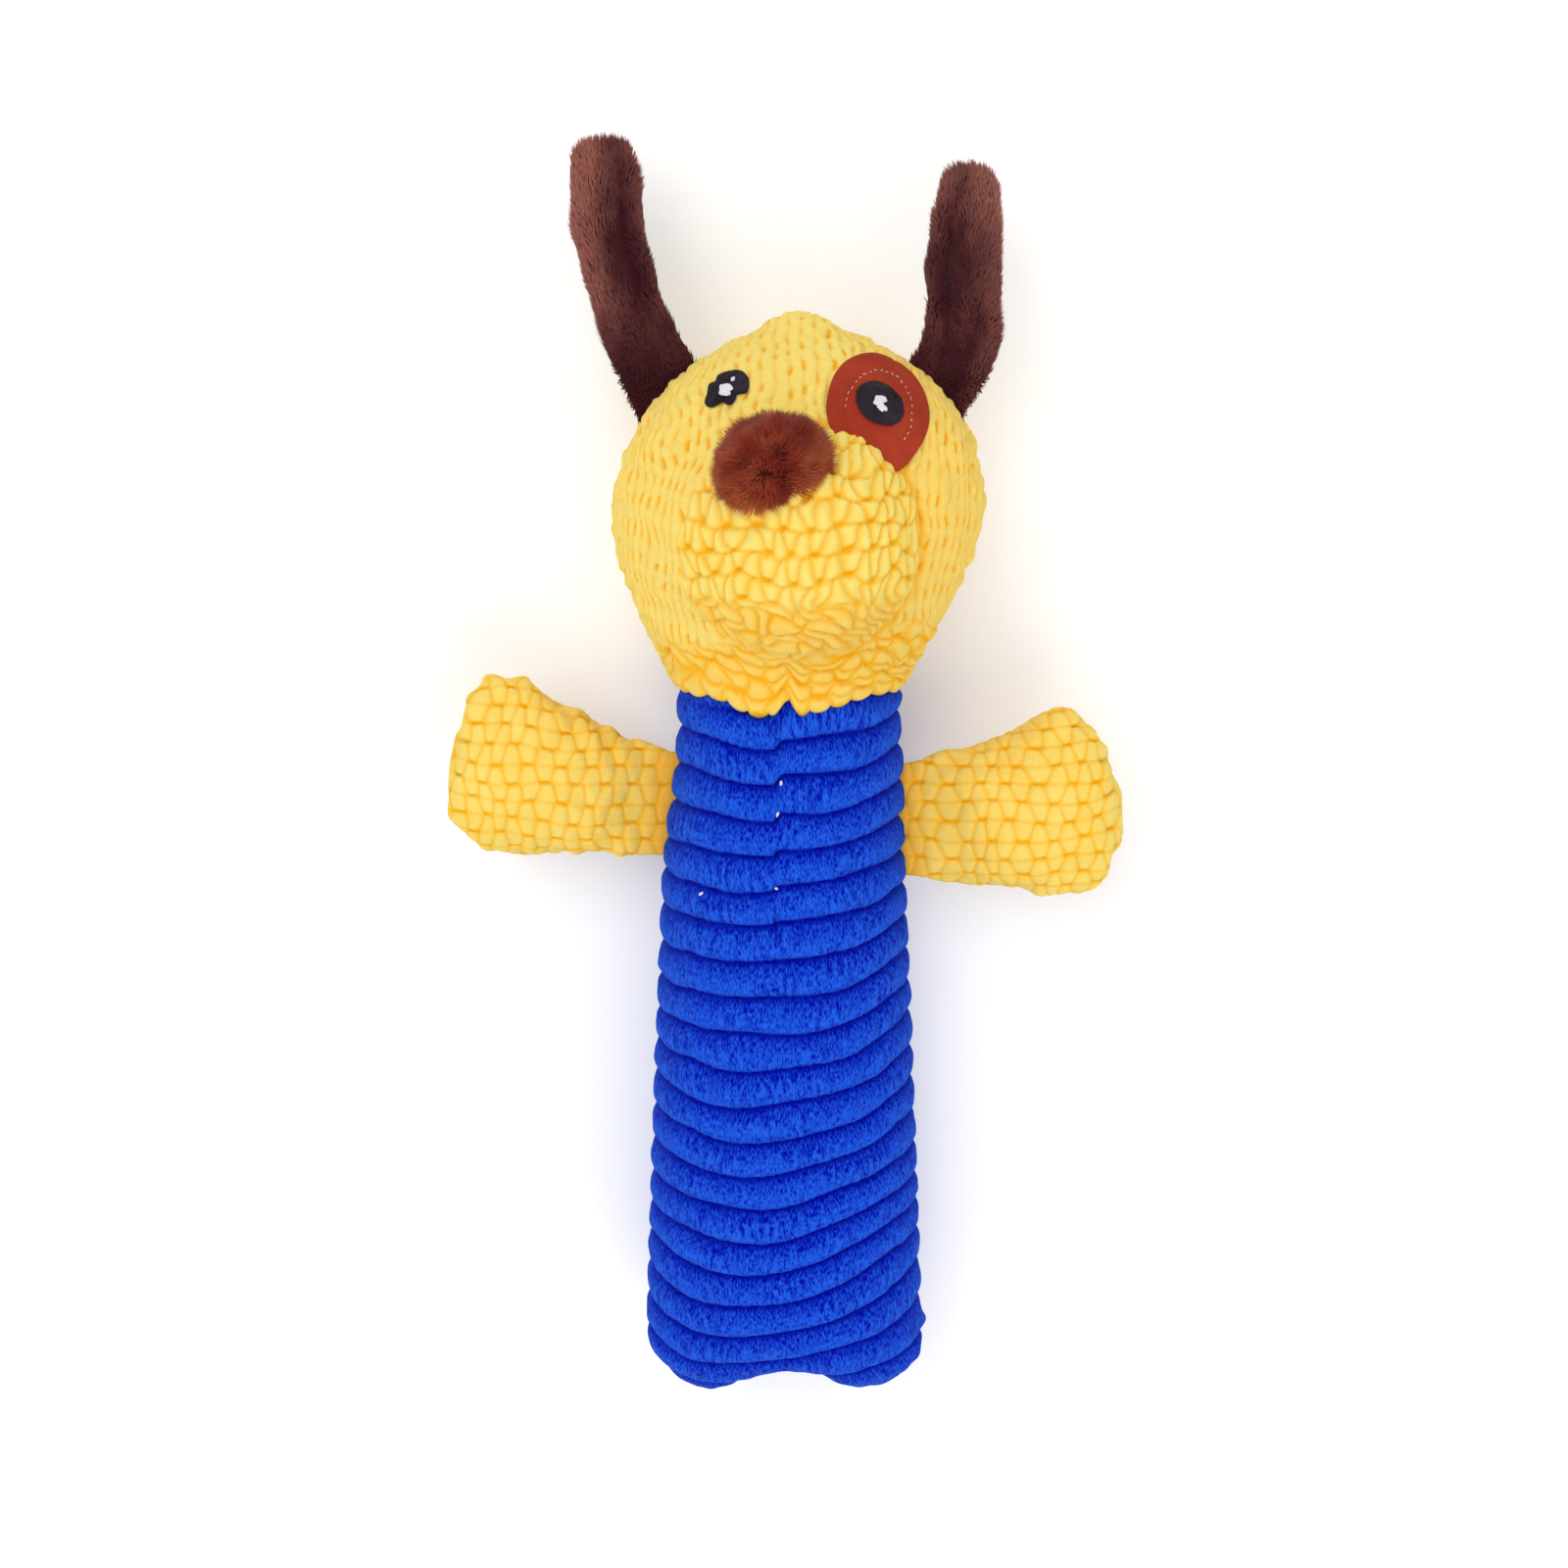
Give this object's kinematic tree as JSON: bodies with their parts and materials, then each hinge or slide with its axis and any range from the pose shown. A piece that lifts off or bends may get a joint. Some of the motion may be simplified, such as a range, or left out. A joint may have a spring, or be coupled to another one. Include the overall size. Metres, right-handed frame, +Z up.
{
  "type": "squeaky dog toy",
  "caption": "Stuffed plush dog toy with a ribbed tube body, round knitted head, fur ears and nose, short knitted arms and a bellows squeaker inside.",
  "frame": {"origin": "on the ground under the middle of the outline of the toy, which lies on its back", "axes": "+Z up out of the face, +Y from the hem to the ear tips, +X to the right of someone who looks down at the face"},
  "size_m": [0.1722, 0.3292, 0.0921],
  "materials": {
    "ribbed_plush": "royal blue wide-wale plush, soft pile, dark furrows",
    "knit": "chunky yellow chenille knit in rows of rounded stitches",
    "ear_fur": "dark brown short pile with lighter brushed tips",
    "nose_fur": "fluffy red-brown faux fur",
    "patch_felt": "pressed red-brown felt",
    "eye_thread": "black satin embroidery",
    "glint_thread": "white satin embroidery",
    "fill": "white polyester fibre filling",
    "squeaker_plastic": "translucent white blow-moulded plastic",
    "reed_brass": "thin rolled brass"
  },
  "bodies": {
    "body": {"body_front_panel": "ribbed_plush", "body_back_panel": "ribbed_plush", "body_stuffing_front": "fill", "body_stuffing_back": "fill", "squeaker_base": "squeaker_plastic", "squeaker_bellows": "squeaker_plastic", "squeaker_reed_plug": "squeaker_plastic", "squeaker_reed_cap": "squeaker_plastic", "squeaker_reed": "reed_brass"},
    "squeaker_press": {"squeaker_top": "squeaker_plastic"},
    "head": {"head_face_panel": "knit", "head_back_panel": "knit", "head_stuffing": "fill", "muzzle_panel": "knit", "muzzle_stuffing": "fill", "nose_cover": "nose_fur", "nose_stuffing": "fill", "eye_patch": "patch_felt", "eye_right": "eye_thread", "eye_right_glint": "glint_thread", "eye_left": "eye_thread", "eye_left_glint": "glint_thread"},
    "ear_left": {"ear_left_front": "ear_fur", "ear_left_back": "ear_fur"},
    "ear_right": {"ear_right_front": "ear_fur", "ear_right_back": "ear_fur"},
    "arm_left": {"arm_left_front": "knit", "arm_left_back": "knit", "arm_left_stuffing": "fill"},
    "arm_right": {"arm_right_front": "knit", "arm_right_back": "knit", "arm_right_stuffing": "fill"}
  },
  "joints": [
    {"name": "head_nod", "type": "hinge", "parent": "body", "child": "head", "pos_m": [-0.00014, 0.01562, 0.03], "axis": [1, 0, 0], "range_deg": [0, 25], "stiffness_Nm_per_rad": 0.3},
    {"name": "ear_left_flap", "type": "hinge", "parent": "head", "child": "ear_left", "pos_m": [-0.02991, 0.10508, 0.0375], "axis": [0.7135, 0.7007, 0], "range_deg": [-20, 60], "stiffness_Nm_per_rad": 0.05},
    {"name": "ear_right_flap", "type": "hinge", "parent": "head", "child": "ear_right", "pos_m": [0.037, 0.10412, 0.0375], "axis": [0.6972, -0.7169, 0], "range_deg": [-20, 60], "stiffness_Nm_per_rad": 0.05},
    {"name": "arm_left_swing", "type": "hinge", "parent": "body", "child": "arm_left", "pos_m": [-0.03076, -0.00218, 0.03], "axis": [0.0652, 0.9979, 0], "range_deg": [-18, 60], "stiffness_Nm_per_rad": 0.08},
    {"name": "arm_right_swing", "type": "hinge", "parent": "body", "child": "arm_right", "pos_m": [0.03074, -0.00588, 0.03], "axis": [0.0621, -0.9981, 0], "range_deg": [-18, 60], "stiffness_Nm_per_rad": 0.08},
    {"name": "squeaker_squeeze", "type": "slide", "parent": "body", "child": "squeaker_press", "axis": [0, 0, -1], "range_m": [0, 0.007], "stiffness_N_per_m": 400, "deforming": ["squeaker_bellows"]}
  ]
}
